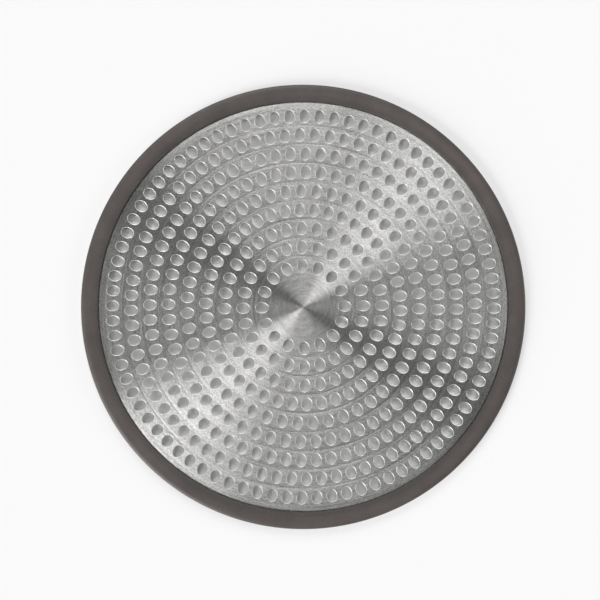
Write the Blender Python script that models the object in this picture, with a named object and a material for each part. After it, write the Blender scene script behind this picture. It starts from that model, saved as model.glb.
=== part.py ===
# Shower drain hair catcher: a perforated steel strainer plate held in a moulded silicone rim.
# Metres, +Z up. The origin is the centre of the foot ring's flat face, where it stands on the tray.
import math

import bmesh
import bpy
from mathutils import Vector, geometry

MM = 0.001
MERGE = 1e-7                           # points closer than this are one

# Holes: oval, longer along the radius, in rings about the plate's centre.
HOLE_LENGTH = 4.5 * MM                 # along the radius
HOLE_WIDTH = 3.6 * MM                  # round the ring
FIRST_RING_RADIUS = 13.55 * MM         # to the middle of the innermost ring of holes
RING_BRIDGE = 1.63 * MM                # steel left between one ring and the next
LEAST_WEB = 0.9 * MM                   # least steel left between two holes of one ring
RING_HOLES = (16, 24, 32, 42, 47, 56, 64, 72, 80)
RING_TURNS = (1.17, 1.19, 1.19, 6.43, 6.79, 5.31, 4.82, 1.13, 4.13)   # degrees to the first hole
HOLE_SIDES = 6

# Plate: flat sheet whose edge is turned down a little before it enters the rim.
PLATE_THICKNESS = 0.8 * MM
RECESS_HEIGHT = 1.8 * MM               # from the tray up to the plate's underside
EDGE_MARGIN = 1.6 * MM                 # flat steel outside the last ring of holes
EDGE_TURN_WIDTH = 0.9 * MM             # how far the turned-down band runs outwards
EDGE_DROP = 0.25 * MM                  # how far it comes down
HELD_WIDTH = 1.6 * MM                  # how far the edge reaches into the rim's groove
EDGE_STEPS = 2

# Rim: one soft moulding with a groove for the plate, a crowned brim and a foot ring.
SEAT_GAP = 0.3 * MM                    # between the steel and the groove's walls
RIM_WALL = 3.76 * MM                   # silicone outside the groove
LIP_THICKNESS = 0.4 * MM               # silicone over the plate's edge
LIP_ROUND = 0.2 * MM                   # corner at the lip's inner edge
CROWN_RISE = 0.1 * MM                  # the crown stands above the lip
CROWN_POWER = 4.0                      # 2 is an ellipse, more is squarer
CROWN_STEPS = 6
OUTER_WALL_HEIGHT = 1.3 * MM           # where the crowned brim ends, above the tray
SHELF_REACH = 1.0 * MM                 # the shelf under the plate runs in past the lip
SHELF_THICKNESS = 0.6 * MM
KNEE_HEIGHT = 0.4 * MM                 # where the inside wall leans in towards the shelf
FOOT_WIDTH = 2.8 * MM                  # flat ring that stands on the tray
FOOT_CHAMFER = 0.4 * MM                # corner between the foot and the outer wall
ROUND_SIDES = 72

STEEL_COLOUR = (0.56, 0.55, 0.53, 1.0)
SILICONE_COLOUR = (0.10, 0.092, 0.086, 1.0)

ring_radii = [FIRST_RING_RADIUS + i * (HOLE_LENGTH + RING_BRIDGE) for i in range(len(RING_HOLES))]
flat_radius = ring_radii[-1] + HOLE_LENGTH / 2 + EDGE_MARGIN
lip_radius = flat_radius + EDGE_TURN_WIDTH
plate_radius = lip_radius + HELD_WIDTH
plate_top = RECESS_HEIGHT + PLATE_THICKNESS
groove_radius = plate_radius + SEAT_GAP
rim_radius = groove_radius + RIM_WALL


def clear_scene():
    for obj in list(bpy.data.objects):
        bpy.data.objects.remove(obj, do_unlink=True)


def principled(name, colour, roughness, metallic):
    material = bpy.data.materials.new(name)
    material.use_nodes = True
    shader = material.node_tree.nodes["Principled BSDF"]
    shader.inputs["Base Color"].default_value = colour
    shader.inputs["Roughness"].default_value = roughness
    shader.inputs["Metallic"].default_value = metallic
    return material


def add_object(name, mesh, material):
    mesh.materials.append(material)
    obj = bpy.data.objects.new(name, mesh)
    bpy.context.scene.collection.objects.link(obj)
    return obj


def circle(radius, sides):
    turns = [2 * math.pi * i / sides for i in range(sides)]
    return [Vector((radius * math.cos(t), radius * math.sin(t))) for t in turns]


def oval(radius, turn):
    """Corners of one hole: as long and as wide as the real oval, counter-clockwise."""
    widest = max(abs(math.sin(2 * math.pi * i / HOLE_SIDES)) for i in range(HOLE_SIDES))
    outward = Vector((math.cos(turn), math.sin(turn)))
    sideways = Vector((-math.sin(turn), math.cos(turn)))
    corners = []
    for i in range(HOLE_SIDES):
        angle = 2 * math.pi * i / HOLE_SIDES
        along = radius + HOLE_LENGTH / 2 * math.cos(angle)
        across = HOLE_WIDTH / 2 * math.sin(angle) / widest
        corners.append(outward * along + sideways * across)
    return corners


def hole_outlines():
    outlines = []
    for radius, listed, first in zip(ring_radii, RING_HOLES, RING_TURNS):
        fitting = int(2 * math.pi * radius / (HOLE_WIDTH + LEAST_WEB))
        count = min(listed, fitting)
        for i in range(count):
            outlines.append(oval(radius, math.radians(first) + 2 * math.pi * i / count))
    return outlines


def edge_drop(radius):
    """How far the sheet has come down at this radius, smoothly from the flat to the groove."""
    share = min(max((radius - flat_radius) / EDGE_TURN_WIDTH, 0.0), 1.0)
    return EDGE_DROP * (1 - math.cos(math.pi * share)) / 2


def perforated_face(outer, holes):
    """Triangles of the flat sheet, and which of its points lie on the outer circle."""
    points, edges, owners = [], [], []
    for owner, outline in enumerate([outer] + holes):
        start = len(points)
        points += outline
        owners += [owner] * len(outline)
        edges += [(start + i, start + (i + 1) % len(outline)) for i in range(len(outline))]
    verts, _, faces, sources, _, _ = geometry.delaunay_2d_cdt(points, edges, [], 1, MERGE)
    owner_of = [owners[source[0]] for source in sources]
    steel = []
    for face in faces:
        touched = {owner_of[i] for i in face}
        if touched == {0} or len(touched) > 1:    # the others would close a hole
            steel.append(face)
    return verts, steel, [i for i, owner in enumerate(owner_of) if owner == 0]


def turn_edge_down(bm, border):
    """Extrudes the flat sheet's outer circle along the turned-down band and into the groove."""
    radii = [flat_radius + EDGE_TURN_WIDTH * i / EDGE_STEPS for i in range(1, EDGE_STEPS + 1)]
    for radius in radii + [plate_radius]:
        made = bmesh.ops.extrude_edge_only(bm, edges=border)["geom"]
        border = [item for item in made if isinstance(item, bmesh.types.BMEdge)]
        for vert in {vert for edge in border for vert in edge.verts}:
            outward = Vector((vert.co.x, vert.co.y, 0)).normalized()
            vert.co = outward * radius + Vector((0, 0, plate_top - edge_drop(radius)))


def strainer_plate_mesh():
    bm = bmesh.new()
    points, faces, outer_points = perforated_face(circle(flat_radius, ROUND_SIDES), hole_outlines())
    verts = [bm.verts.new((point.x, point.y, plate_top)) for point in points]
    for face in faces:
        bm.faces.new([verts[i] for i in face])
    outer = {verts[i] for i in outer_points}
    turn_edge_down(bm, [e for e in bm.edges if e.is_boundary and set(e.verts) <= outer])
    made = bmesh.ops.extrude_face_region(bm, geom=bm.faces[:], use_keep_orig=True)["geom"]
    underside = [item for item in made if isinstance(item, bmesh.types.BMVert)]
    bmesh.ops.translate(bm, verts=underside, vec=(0, 0, -PLATE_THICKNESS))
    bmesh.ops.recalc_face_normals(bm, faces=bm.faces)
    return to_mesh("strainer_plate", bm)


def crown_profile(lip_top):
    """The brim, from just outside the lip's corner down to the top of the outer wall."""
    inner = lip_radius + LIP_ROUND
    height = lip_top + CROWN_RISE - OUTER_WALL_HEIGHT
    points = []
    for i in range(1, CROWN_STEPS + 1):
        turn = math.pi / 2 * i / CROWN_STEPS
        out = math.sin(turn) ** (2 / CROWN_POWER)
        up = math.cos(turn) ** (2 / CROWN_POWER)
        points.append((inner + (rim_radius - inner) * out, OUTER_WALL_HEIGHT + height * up))
    return points


def rim_profile():
    """Radius and height of the rim's section, from the lip round the outside, foot and groove."""
    edge_top = plate_top - EDGE_DROP
    roof = edge_top + SEAT_GAP
    floor = edge_top - PLATE_THICKNESS - SEAT_GAP
    lip_top = roof + LIP_THICKNESS
    shelf_radius = lip_radius - SHELF_REACH
    foot_outer = rim_radius - FOOT_CHAMFER
    foot_inner = foot_outer - FOOT_WIDTH
    points = [(lip_radius, roof), (lip_radius, lip_top - LIP_ROUND), (lip_radius + LIP_ROUND, lip_top)]
    points += crown_profile(lip_top)
    points += [(rim_radius, FOOT_CHAMFER), (foot_outer, 0), (foot_inner, 0), (foot_inner, KNEE_HEIGHT)]
    points += [(shelf_radius, floor - SHELF_THICKNESS), (shelf_radius, floor)]
    points += [(groove_radius, floor), (groove_radius, roof)]
    return points


def turned_mesh(name, profile):
    """A closed ring: the section is copied round Z and each copy is joined to the next."""
    bm = bmesh.new()
    copies = []
    for i in range(ROUND_SIDES):
        turn = 2 * math.pi * i / ROUND_SIDES
        copies.append([bm.verts.new((r * math.cos(turn), r * math.sin(turn), z)) for r, z in profile])
    for i, here in enumerate(copies):
        beyond = copies[(i + 1) % ROUND_SIDES]
        for j in range(len(profile)):
            k = (j + 1) % len(profile)
            bm.faces.new((here[j], here[k], beyond[k], beyond[j]))
    bmesh.ops.recalc_face_normals(bm, faces=bm.faces)
    return to_mesh(name, bm)


def to_mesh(name, bm):
    mesh = bpy.data.meshes.new(name)
    bm.to_mesh(mesh)
    bm.free()
    return mesh


def main():
    clear_scene()
    steel = principled("brushed_steel", STEEL_COLOUR, 0.3, 1.0)
    silicone = principled("silicone", SILICONE_COLOUR, 0.6, 0.0)
    plate = strainer_plate_mesh()
    plate.set_sharp_from_angle(angle=math.radians(30))
    add_object("strainer_plate", plate, steel)
    rim = turned_mesh("silicone_rim", rim_profile())
    rim.shade_smooth()
    rim.set_sharp_from_angle(angle=math.radians(35))
    add_object("silicone_rim", rim, silicone)


main()
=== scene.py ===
import math

import bmesh
import bpy
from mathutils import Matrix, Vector, geometry


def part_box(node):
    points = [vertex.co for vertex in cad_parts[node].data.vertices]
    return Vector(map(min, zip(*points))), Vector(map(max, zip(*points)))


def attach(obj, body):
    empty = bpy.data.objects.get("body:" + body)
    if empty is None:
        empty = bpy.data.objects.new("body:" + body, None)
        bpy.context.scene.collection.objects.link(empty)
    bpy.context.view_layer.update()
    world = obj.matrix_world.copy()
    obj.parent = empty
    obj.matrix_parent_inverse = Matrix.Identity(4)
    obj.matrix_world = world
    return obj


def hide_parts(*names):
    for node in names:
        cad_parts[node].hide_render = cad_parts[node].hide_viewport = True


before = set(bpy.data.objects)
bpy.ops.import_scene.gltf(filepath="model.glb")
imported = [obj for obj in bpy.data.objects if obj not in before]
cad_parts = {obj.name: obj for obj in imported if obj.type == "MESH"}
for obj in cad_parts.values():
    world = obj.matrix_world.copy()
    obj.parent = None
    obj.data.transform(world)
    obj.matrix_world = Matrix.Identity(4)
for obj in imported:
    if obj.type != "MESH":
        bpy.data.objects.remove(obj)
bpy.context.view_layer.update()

mm = 0.001
sameSpot = 1e-8                          # points closer than this, in metres, are one
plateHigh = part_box("strainer_plate")[1]
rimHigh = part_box("silicone_rim")[1]


# Small helpers for meshes

def addPiece(name, bm, *materials):
    mesh = bpy.data.meshes.new(name)
    bm.to_mesh(mesh)
    bm.free()
    for material in materials:
        mesh.materials.append(material)
    for polygon in mesh.polygons:
        polygon.use_smooth = True
    piece = bpy.data.objects.new(name, mesh)
    bpy.context.scene.collection.objects.link(piece)
    return piece


def circleOf(bm, radius, z, sides):
    turns = [2 * math.pi * i / sides for i in range(sides)]
    return [bm.verts.new((radius * math.cos(t), radius * math.sin(t), z)) for t in turns]


def joinLoops(bm, first, second, slot=0):
    # a band of quads between two loops of the same length
    for i in range(len(first)):
        k = (i + 1) % len(first)
        face = bm.faces.new((first[i], first[k], second[k], second[i]))
        face.material_index = slot


def fillFlat(bm, outer, inside, facingUp=True, slot=0):
    # flat steel between the outer loop and the loops inside it, which stay open
    corners, edges, owners = [], [], []
    for owner, loop in enumerate([outer] + inside):
        start = len(corners)
        corners += loop
        owners += [owner] * len(loop)
        edges += [(start + i, start + (i + 1) % len(loop)) for i in range(len(loop))]
    flat = [vert.co.xy for vert in corners]
    _, _, faces, sources, _, _ = geometry.delaunay_2d_cdt(flat, edges, [], 1, sameSpot)
    for face in faces:
        picked = [sources[i][0] for i in face]
        touched = {owners[i] for i in picked}
        if touched == {0} or len(touched) > 1:
            verts = [corners[i] for i in picked]
            bm.faces.new(verts if facingUp else verts[::-1]).material_index = slot


# Small helpers for materials

def newMaterial(name):
    material = bpy.data.materials.new(name)
    material.use_nodes = True
    return material, material.node_tree, material.node_tree.nodes["Principled BSDF"]


def addNode(tree, kind, **values):
    node = tree.nodes.new(kind)
    for key, value in values.items():
        setattr(node, key, value)
    return node


def mathNode(tree, operation, first, second=None):
    node = addNode(tree, "ShaderNodeMath", operation=operation)
    for socket, value in zip(node.inputs, (first, second)):
        if isinstance(value, bpy.types.NodeSocket):
            tree.links.new(value, socket)
        elif value is not None:
            socket.default_value = value
    return node.outputs[0]


def mixColours(tree, factor, first, second):
    # a Mix node takes its colours at inputs 6 and 7 and gives them at output 2
    node = addNode(tree, "ShaderNodeMix", data_type="RGBA")
    tree.links.new(factor, node.inputs[0])
    node.inputs[6].default_value = (*first, 1)
    node.inputs[7].default_value = (*second, 1)
    return node.outputs[2]


def stretched(tree, value, low, high, bottom=0, top=1):
    node = addNode(tree, "ShaderNodeMapRange")
    tree.links.new(value, node.inputs["Value"])
    node.inputs["From Min"].default_value = bottom
    node.inputs["From Max"].default_value = top
    node.inputs["To Min"].default_value = low
    node.inputs["To Max"].default_value = high
    return node.outputs["Result"]


def addNoise(tree, vector, detail=3):
    noise = addNode(tree, "ShaderNodeTexNoise")
    noise.inputs["Detail"].default_value = detail
    tree.links.new(vector, noise.inputs["Vector"])
    return noise


def paint(tree, shader, finish, blend, gloss):
    # the colour lies between the finish's dark and light, the roughness between its two values
    tree.links.new(mixColours(tree, blend, finish["dark"], finish["light"]), shader.inputs["Base Color"])
    tree.links.new(stretched(tree, gloss, *finish["roughness"]), shader.inputs["Roughness"])


def addBump(tree, shader, height, strength, distance):
    bump = tree.nodes.new("ShaderNodeBump")
    bump.inputs["Strength"].default_value = strength
    bump.inputs["Distance"].default_value = distance
    tree.links.new(height, bump.inputs["Height"])
    tree.links.new(bump.outputs[0], shader.inputs["Normal"])


def newGroup(name, inputs, outputs):
    group = bpy.data.node_groups.new(name, "ShaderNodeTree")
    for label, value in inputs.items():
        socket = group.interface.new_socket(label, in_out="INPUT", socket_type="NodeSocketFloat")
        socket.default_value = value
    for label in outputs:
        group.interface.new_socket(label, in_out="OUTPUT", socket_type="NodeSocketFloat")
    return group, group.nodes.new("NodeGroupInput"), group.nodes.new("NodeGroupOutput")


def placeGroup(tree, group, **values):
    node = addNode(tree, "ShaderNodeGroup", node_tree=group)
    for key, value in values.items():
        node.inputs[key].default_value = value
    return node


# Finishes

turnedLines = {                          # each one's share of the group's density and of its breaks
    "lines": (1.0, 1.0),                 # short fine strokes
    "broad": (0.3, 0.034),               # long soft arcs
}


def buildTurnedGrain():
    # fine lines that run round the plate's centre, as a disc gets when it's brushed on a lathe
    # density: lines across the brushing, breaks: how often a line ends on its way round
    group, given, result = newGroup("turnedGrain", {"density": 4000, "breaks": 3}, (*turnedLines, "radius"))
    place = group.nodes.new("ShaderNodeTexCoord")
    split = group.nodes.new("ShaderNodeSeparateXYZ")
    group.links.new(place.outputs["Object"], split.inputs[0])
    x, y = split.outputs[0], split.outputs[1]
    squares = mathNode(group, "ADD", mathNode(group, "MULTIPLY", x, x), mathNode(group, "MULTIPLY", y, y))
    radius = mathNode(group, "ADD", mathNode(group, "SQRT", squares), 1e-6)      # never zero at the centre
    group.links.new(radius, result.inputs["radius"])
    for label, (dense, broken) in turnedLines.items():
        density = mathNode(group, "MULTIPLY", given.outputs["density"], dense)
        breaks = mathNode(group, "MULTIPLY", given.outputs["breaks"], broken)
        spot = group.nodes.new("ShaderNodeCombineXYZ")
        group.links.new(mathNode(group, "MULTIPLY", radius, density), spot.inputs[0])
        for axis, value in ((1, x), (2, y)):
            along = mathNode(group, "MULTIPLY", mathNode(group, "DIVIDE", value, radius), breaks)
            group.links.new(along, spot.inputs[axis])
        noise = addNoise(group, spot.outputs[0])
        noise.inputs["Scale"].default_value = 1
        group.links.new(noise.outputs[0], result.inputs[label])
    return group


def buildFineMottle():
    # soft clouds and small grit, for the silicone and for handled steel
    group, given, result = newGroup("fineMottle", {"clouds": 60, "grit": 4000}, ("clouds", "grit"))
    place = group.nodes.new("ShaderNodeTexCoord")
    for label in ("clouds", "grit"):
        noise = addNoise(group, place.outputs["Object"])
        group.links.new(given.outputs[label], noise.inputs["Scale"])
        group.links.new(noise.outputs[0], result.inputs[label])
    return group


turnedGrain = buildTurnedGrain()
fineMottle = buildFineMottle()

brushedFace = {
    "light": (0.66, 0.655, 0.645),
    "dark": (0.28, 0.277, 0.272),
    "roughness": (0.27, 0.33),
    "anisotropic": 1.0,
    "glossTurn": 0.25,                   # a quarter turn: the gloss runs across the lines
    "density": 4200,                     # of the turned strokes
    "breaks": 64,                        # more makes them shorter
    "gritScale": 3000,
    "lines": 2.0,                        # how strongly the short turned strokes show
    "broad": 1.3,                        # the long soft arcs
    "grit": 1.6,                         # the small specks
    "hub": 12 * mm,                      # inside this the strokes and the grit fade
    "hubInner": 4 * mm,                  # they are weakest from here in
    "hubShare": 0.15,                    # what is left of them there
    "bump": 0.02,
    "bumpDepth": 0.1 * mm,
}


def buildBrushedFace():
    finish = brushedFace
    material, tree, shader = newMaterial("brushedFace")
    grain = placeGroup(tree, turnedGrain, density=finish["density"], breaks=finish["breaks"])
    mottle = placeGroup(tree, fineMottle, grit=finish["gritScale"])
    radius = grain.outputs["radius"]
    fade = stretched(tree, radius, finish["hubShare"], 1, finish["hubInner"], finish["hub"])
    blend = 0.5
    for texture, share in ((grain.outputs["broad"], finish["broad"]),
                           (grain.outputs["lines"], mathNode(tree, "MULTIPLY", fade, finish["lines"])),
                           (mottle.outputs["grit"], mathNode(tree, "MULTIPLY", fade, finish["grit"]))):
        swing = mathNode(tree, "MULTIPLY", mathNode(tree, "SUBTRACT", texture, 0.5), share)
        blend = mathNode(tree, "ADD", swing, blend)
    paint(tree, shader, finish, blend, grain.outputs["broad"])
    shader.inputs["Metallic"].default_value = 1
    shader.inputs["Anisotropic"].default_value = finish["anisotropic"]
    shader.inputs["Anisotropic Rotation"].default_value = finish["glossTurn"]
    tangent = addNode(tree, "ShaderNodeTangent", direction_type="RADIAL", axis="Z")
    tree.links.new(tangent.outputs[0], shader.inputs["Tangent"])
    addBump(tree, shader, grain.outputs["lines"], finish["bump"], finish["bumpDepth"])
    return material


punchedEdge = {
    "light": (0.92, 0.91, 0.90),
    "dark": (0.80, 0.79, 0.78),
    "roughness": (0.42, 0.52),
    "clouds": 400,
    "grit": 6000,
}

millBackAndShade = {                             # the underside keeps the dull finish of the rolled sheet, painted darker than steel so little light bounces under the plate: partly painted shade for the holes
    "light": (0.34, 0.335, 0.33),
    "dark": (0.22, 0.217, 0.213),
    "roughness": (0.36, 0.48),
    "clouds": 90,
    "grit": 3000,
}


def buildPlainSteel(name, finish):
    material, tree, shader = newMaterial(name)
    mottle = placeGroup(tree, fineMottle, clouds=finish["clouds"], grit=finish["grit"])
    paint(tree, shader, finish, mottle.outputs["clouds"], mottle.outputs["grit"])
    shader.inputs["Metallic"].default_value = 1
    return material


softSilicone = {
    "light": (0.100, 0.083, 0.077),
    "dark": (0.038, 0.033, 0.032),
    "roughness": (0.42, 0.54),
    "clouds": 160,                       # scale of the texture; its share is how strongly it shows
    "cloudShare": 0.7,
    "grit": 2600,
    "gritShare": 1.0,
    "density": 1000,                     # of the wiped arcs
    "breaks": 30,
    "arcShare": 0.8,
    "shadeAtSteel": 67.3 * mm,               # painted shade: the silicone is painted darkest here, next to the steel
    "shadeFadedBy": 70 * mm,
    "depth": (-0.98, -0.66),             # the blend at each of the two, before the textures are added: painted shade at the steel, the plain tone further out
    "bump": 0.15,
    "bumpDepth": 0.05 * mm,
}


def buildSoftSilicone():
    finish = softSilicone
    material, tree, shader = newMaterial("softSilicone")
    mottle = placeGroup(tree, fineMottle, clouds=finish["clouds"], grit=finish["grit"])
    wiped = placeGroup(tree, turnedGrain, density=finish["density"], breaks=finish["breaks"])
    radius = wiped.outputs["radius"]
    # painted shade: the colour is darker near the steel and reaches its plain tone further out
    blend = stretched(tree, radius, *finish["depth"], finish["shadeAtSteel"], finish["shadeFadedBy"])
    for texture, share in ((mottle.outputs["clouds"], finish["cloudShare"]),
                           (mottle.outputs["grit"], finish["gritShare"]),
                           (wiped.outputs["broad"], finish["arcShare"])):
        blend = mathNode(tree, "ADD", blend, mathNode(tree, "MULTIPLY", texture, share))
    paint(tree, shader, finish, blend, mottle.outputs["grit"])
    addBump(tree, shader, mottle.outputs["grit"], finish["bump"], finish["bumpDepth"])
    return material


# The steel plate

plate = {
    "firstRing": 13.55 * mm,             # middle of the innermost ring of holes
    "pitch": 6.13 * mm,
    "holes": (16, 24, 32, 42, 47, 56, 64, 72, 80),
    "turns": (1.17, 1.19, 1.19, 6.43, 6.79, 5.31, 4.82, 1.13, 4.13),
    "length": 4.5 * mm,                  # oval, outside its rounded edge
    "width": 3.6 * mm,
    "edge": 0.14 * mm,                   # rounding of the punched edge
    "edgeSteps": 3,
    "rest": 0.08 * mm,                   # flat ring round each hole that keeps the face's shading flat
    "corners": 24,                       # of each oval
    "sheet": 0.8 * mm,
    "burr": 0.08 * mm,                   # small corner at the underside
    "groove": 0.32 * mm,                 # width of the turned line between two rings
    "grooveDepth": 0.03 * mm,
    "grooveSteps": 6,
    "flatRadius": 66.9 * mm,
    "lipRadius": 67.34 * mm,             # where the silicone's lip meets the steel
    "edgeDrop": 0.25 * mm,               # the edge comes down this far before it enters the rim
    "dropSteps": 8,
    "sides": 240,
}


def ovalLoop(bm, radius, turn, inset, z):
    # the oval drawn in by inset, square to its own outline
    out = Vector((math.cos(turn), math.sin(turn)))
    side = Vector((-out.y, out.x))
    half, wide = plate["length"] / 2, plate["width"] / 2
    loop = []
    for i in range(plate["corners"]):
        angle = 2 * math.pi * i / plate["corners"]
        x, y = half * math.cos(angle), wide * math.sin(angle)
        slope = Vector((x / half ** 2, y / wide ** 2)).normalized()
        x, y = x - slope.x * inset, y - slope.y * inset
        spot = out * (radius + x) + side * y
        loop.append(bm.verts.new((spot.x, spot.y, z)))
    return loop


def punchHole(bm, radius, turn):
    # from the flat ring over the rounded edge, down the wall to the underside
    top, edge = plateHigh.z, plate["edge"]
    section = [(-plate["rest"], 0)]
    for step in range(plate["edgeSteps"] + 1):
        angle = math.pi / 2 * step / plate["edgeSteps"]
        section.append((edge * math.sin(angle), edge * (1 - math.cos(angle))))
    section.append((edge, plate["sheet"] - plate["burr"]))
    section.append((edge - plate["burr"], plate["sheet"]))
    loops = [ovalLoop(bm, radius, turn, inset, top - depth) for inset, depth in section]
    for i in range(len(loops) - 1):
        joinLoops(bm, loops[i + 1], loops[i], 0 if i == 0 else 1)
    return loops[0], loops[-1]


def edgeHeight(radius):
    # the sheet comes down smoothly between the flat field and the lip
    share = (radius - plate["flatRadius"]) / (plate["lipRadius"] - plate["flatRadius"])
    share = min(max(share, 0), 1)
    return -plate["edgeDrop"] * (1 - math.cos(math.pi * share)) / 2


def turnStrip(bm, points, first=None):
    # turned strip through (radius, z) points; returns its first and last loops
    loops = [first] if first else []
    for radius, z in points[len(loops):]:
        loops.append(circleOf(bm, radius, z, plate["sides"]))
    for inner, outer in zip(loops, loops[1:]):
        joinLoops(bm, inner, outer)
    return loops[0], loops[-1]


def grooveSection(radius):
    steps = plate["grooveSteps"]
    points = []
    for i in range(steps + 1):
        share = 2 * i / steps - 1
        depth = plate["grooveDepth"] * (1 + math.cos(math.pi * share)) / 2
        points.append((radius + share * plate["groove"] / 2, plateHigh.z - depth))
    return points


def buildPlate():
    bm = bmesh.new()
    rings = [plate["firstRing"] + plate["pitch"] * i for i in range(len(plate["holes"]))]
    under, bands = [], []
    for radius, count, first in zip(rings, plate["holes"], plate["turns"]):
        band = []
        for i in range(count):
            above, below = punchHole(bm, radius, math.radians(first) + 2 * math.pi * i / count)
            band.append(above)
            under.append(below)
        bands.append(band)
    inner = None
    for i, band in enumerate(bands):
        if i + 1 < len(rings):
            start, end = turnStrip(bm, grooveSection((rings[i] + rings[i + 1]) / 2))
        else:
            start, end = turnStrip(bm, [(plate["flatRadius"], plateHigh.z)])
        fillFlat(bm, start, band + ([inner] if inner else []))
        inner = end
    steps = plate["dropSteps"]
    reach = plate["lipRadius"] - plate["flatRadius"]
    edge = [plate["flatRadius"] + reach * i / steps for i in range(steps + 1)] + [plateHigh.x]
    turned = [(radius, plateHigh.z + edgeHeight(radius)) for radius in edge]
    _, edgeAbove = turnStrip(bm, turned, inner)
    edgeBelow, flatBelow = turnStrip(bm, [(radius, z - plate["sheet"]) for radius, z in reversed(turned)])
    joinLoops(bm, edgeAbove, edgeBelow)
    fillFlat(bm, flatBelow, under, facingUp=False, slot=2)
    bmesh.ops.recalc_face_normals(bm, faces=bm.faces)
    face, edges = buildBrushedFace(), buildPlainSteel("punchedEdge", punchedEdge)
    # the underside's dark colour is partly its dull finish, partly painted shade for the space under the
    # plate
    back = buildPlainSteel("millBackAndShade", millBackAndShade)
    piece = addPiece("brushedPlate", bm, face, edges, back)
    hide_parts("strainer_plate")
    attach(piece, "root")
    print("plate:", len(under), "holes,", len(piece.data.polygons), "faces")
    return piece


# The silicone rim

rim = {
    "lip": plate["lipRadius"],
    "lipTop": 2.95 * mm,
    "lipCorner": 0.2 * mm,
    "lipSteps": 4,
    "riseEnd": 70 * mm,                  # the brim climbs from the lip to here
    "power": 5.0,                        # 2 is an ellipse, more is squarer
    "crownSteps": 22,
    "wallTop": 1.3 * mm,                 # the curve ends here, above the floor
    "wallSteps": (0.9 * mm, 0.6 * mm),   # heights of the loops down the outer wall
    "chamfer": 0.4 * mm,                 # rounded corner between the wall and the foot
    "chamferSteps": 6,
    "foot": 2.8 * mm,                    # width of the flat ring that stands on the tray
    "knee": 0.4 * mm,                    # the inside wall leans in from here up to the shelf
    "shelf": 66.34 * mm,                 # how near the centre the shelf under the plate comes
    "shelfUnder": 0.65 * mm,             # height of its underside
    "smallCorner": 0.15 * mm,            # at the foot and the shelf
    "smallSteps": 3,
    "clear": 0.01 * mm,                  # between the silicone and the steel it grips
    "sides": 240,
}


def arc(centre, radius, start, end, steps):
    # angles in degrees, from pointing outwards
    points = []
    for i in range(steps + 1):
        angle = math.radians(start + (end - start) * i / steps)
        points.append((centre[0] + radius * math.cos(angle), centre[1] + radius * math.sin(angle)))
    return points


def rimSection():
    # (radius, z) points: lip, crown, outer wall, foot, inside wall, shelf and groove
    outer, corner = rimHigh.x, rim["lipCorner"]
    steelTop = plateHigh.z - plate["edgeDrop"]
    roof = steelTop + rim["clear"]
    floor = steelTop - plate["sheet"] - rim["clear"]
    groove = plateHigh.x + rim["clear"]
    points = [(rim["lip"], roof)]
    points += arc((rim["lip"] + corner, rim["lipTop"] - corner), corner, 180, 100, rim["lipSteps"])
    inner, steps = rim["lip"] + corner, rim["crownSteps"]
    for i in range(1, steps + 1):
        turn = math.pi / 2 * i / steps
        out = math.sin(turn) ** (2 / rim["power"])
        up = math.cos(turn) ** (2 / rim["power"])
        radius, z = inner + (outer - inner) * out, rim["wallTop"] + (rimHigh.z - rim["wallTop"]) * up
        still = max(1 - (radius - inner) / (rim["riseEnd"] - inner), 0)      # share of the climb to come
        points.append((radius, z - (rimHigh.z - rim["lipTop"]) * still ** 2))
    foot, small, few = outer - rim["chamfer"], rim["smallCorner"], rim["smallSteps"]
    points += [(outer, z) for z in rim["wallSteps"]]
    points += arc((foot, rim["chamfer"]), rim["chamfer"], 0, -90, rim["chamferSteps"])
    points += arc((foot - rim["foot"] + small, small), small, -90, -180, few)
    points += [(foot - rim["foot"], rim["knee"])]
    points += arc((rim["shelf"] + small, rim["shelfUnder"] + small), small, -120, -180, few)
    points += arc((rim["shelf"] + small, floor - small), small, 180, 90, few)
    points += [(groove, floor), (groove, roof)]
    return points


def buildRim():
    bm = bmesh.new()
    section = rimSection()
    loops = [circleOf(bm, radius, z, rim["sides"]) for radius, z in section]
    for i in range(len(loops)):
        joinLoops(bm, loops[i], loops[(i + 1) % len(loops)])
    bmesh.ops.recalc_face_normals(bm, faces=bm.faces)
    piece = addPiece("softRim", bm, buildSoftSilicone())
    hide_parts("silicone_rim")
    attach(piece, "root")
    print("rim:", len(section), "points round the section")
    return piece


# Camera, floor and lights

studio = {
    "centre": (303.2, 306.9),            # the object's middle in the 600 x 600 picture
    "frameWidth": 600,                   # of the picture, in pixels
    "pixel": 146 / 444 * mm,             # size of a pixel at the rim
    "lens": 100,                         # lens and sensor in millimetres, as Blender has them
    "sensor": 36,
    "floor": (0.915, 0.915, 0.915),
    "floorReach": 3,                     # metres, far beyond the picture
    "floorRoughness": 0.9,
    "floorGloss": 0.1,
    "floorWhite": (0.93, 0.93, 0.93),
    "floorShare": 0.6,                   # how much of the open floor's look is its own white
    "shade": 72 * mm,                    # the floor under the object shows no white of its own
    "air": 0.01,                         # light from all round
    "wall": 0.95,                        # pale walls that the steel mirrors at a low angle
    "wallFade": (0.17, 0.42),            # they fade between these heights, as the sine of the angle up
    "lampDistance": 0.5,                 # the lamps are suns, so only their direction counts
}

# soft lamps: azimuth from +X, tilt from straight above, how wide each looks (degrees), strength
lamps = (
    ("keyLamp", 226, 66, 46, 2.83),
    ("keyHigh", 221, 52, 24, 0.76),
    ("topLamp", 94, 54, 26, 0.84),
    ("topWide", 94, 52, 40, 0.36),
    ("topHigh", 121, 43, 24, 0.47),
    ("rightLamp", 4, 69, 16, 0.15),
    ("rightLow", 348, 63, 18, 0.28),
    ("rightWide", 8, 66, 34, 0.36),
    ("aboveWide", 125, 16, 50, 0.17),
    ("aboveRight", 2, 16, 11, 0.05),
    ("aboveLow", 288, 13, 20, 0.03),
    ("streakRight", 56, 14, 13, 0.16),
)


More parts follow.
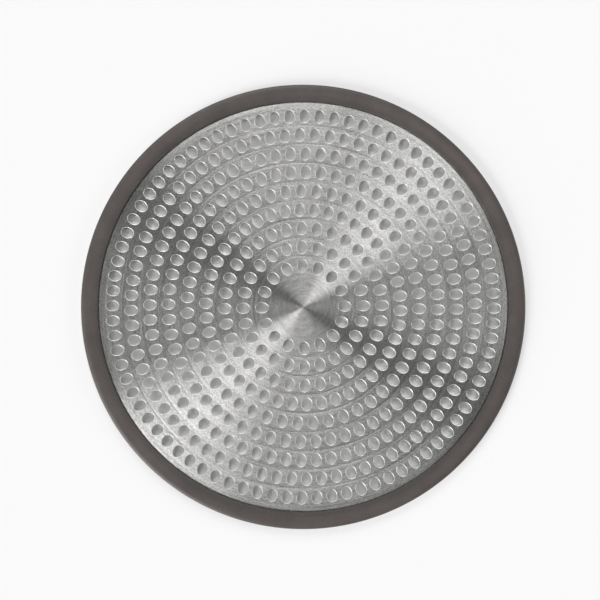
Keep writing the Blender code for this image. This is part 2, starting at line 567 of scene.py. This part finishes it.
def addCamera():
    # straight above, and moved sideways so that the object's middle falls where it is in the picture
    data = bpy.data.cameras.new("camera")
    data.lens, data.sensor_width = studio["lens"], studio["sensor"]
    width = studio["frameWidth"] * studio["pixel"]
    distance = width * studio["lens"] / studio["sensor"]
    camera = bpy.data.objects.new("camera", data)
    half = studio["frameWidth"] / 2
    x = (half - studio["centre"][0]) * studio["pixel"]
    y = (studio["centre"][1] - half) * studio["pixel"]
    camera.location = (x, y, distance + rim["wallTop"])
    bpy.context.scene.collection.objects.link(camera)
    bpy.context.scene.camera = camera


def addLamp(name, azimuth, tilt, width, strength):
    data = bpy.data.lights.new(name, "SUN")
    data.angle = math.radians(width)
    data.energy = strength
    lamp = bpy.data.objects.new(name, data)
    across, up = math.radians(azimuth), math.radians(tilt)
    away = Vector((math.sin(up) * math.cos(across), math.sin(up) * math.sin(across), math.cos(up)))
    lamp.location = away * studio["lampDistance"]
    lamp.rotation_euler = away.to_track_quat("Z", "Y").to_euler()
    bpy.context.scene.collection.objects.link(lamp)


def seenRays(tree):
    # one for rays from the camera or by way of metal or glass, none for the light that falls on things
    path = tree.nodes.new("ShaderNodeLightPath")
    rays = mathNode(tree, "MAXIMUM", path.outputs["Is Camera Ray"], path.outputs["Is Glossy Ray"])
    return mathNode(tree, "MAXIMUM", rays, path.outputs["Is Transmission Ray"])


def addFloor():
    # the floor shows some of its own white where it lies open, so the shadow round the rim stays light
    bm = bmesh.new()
    bmesh.ops.create_grid(bm, x_segments=1, y_segments=1, size=studio["floorReach"])
    material, tree, shader = newMaterial("paleFloor")
    shader.inputs["Base Color"].default_value = (*studio["floor"], 1)
    shader.inputs["Roughness"].default_value = studio["floorRoughness"]
    shader.inputs["Specular IOR Level"].default_value = studio["floorGloss"]
    white = tree.nodes.new("ShaderNodeEmission")
    white.inputs["Color"].default_value = (*studio["floorWhite"], 1)
    place = tree.nodes.new("ShaderNodeTexCoord")
    length = addNode(tree, "ShaderNodeVectorMath", operation="LENGTH")
    tree.links.new(place.outputs["Object"], length.inputs[0])
    beyond = mathNode(tree, "GREATER_THAN", length.outputs["Value"], studio["shade"])
    share = mathNode(tree, "MULTIPLY", seenRays(tree), beyond)
    share = mathNode(tree, "MULTIPLY", share, studio["floorShare"])
    mix = tree.nodes.new("ShaderNodeMixShader")
    tree.links.new(share, mix.inputs[0])
    tree.links.new(shader.outputs[0], mix.inputs[1])
    tree.links.new(white.outputs[0], mix.inputs[2])
    tree.links.new(mix.outputs[0], tree.nodes["Material Output"].inputs["Surface"])
    floor = addPiece("floor", bm, material)


def addWorld():
    world = bpy.data.worlds.new("studioAir")
    world.use_nodes = True
    tree = world.node_tree
    air = tree.nodes["Background"]
    air.inputs["Color"].default_value = (1, 1, 1, 1)
    way = tree.nodes.new("ShaderNodeTexCoord")
    split = tree.nodes.new("ShaderNodeSeparateXYZ")
    tree.links.new(way.outputs["Generated"], split.inputs[0])
    wall = stretched(tree, split.outputs[2], studio["wall"], 0, *studio["wallFade"])
    strength = mathNode(tree, "ADD", mathNode(tree, "MULTIPLY", wall, seenRays(tree)), studio["air"])
    tree.links.new(strength, air.inputs["Strength"])
    bpy.context.scene.world = world


addCamera()
addFloor()
addWorld()
for lamp in lamps:
    addLamp(*lamp)
print("studio: camera, floor and", len(lamps), "lamps")
buildPlate()
buildRim()
bpy.context.scene.view_settings.view_transform = "Standard"
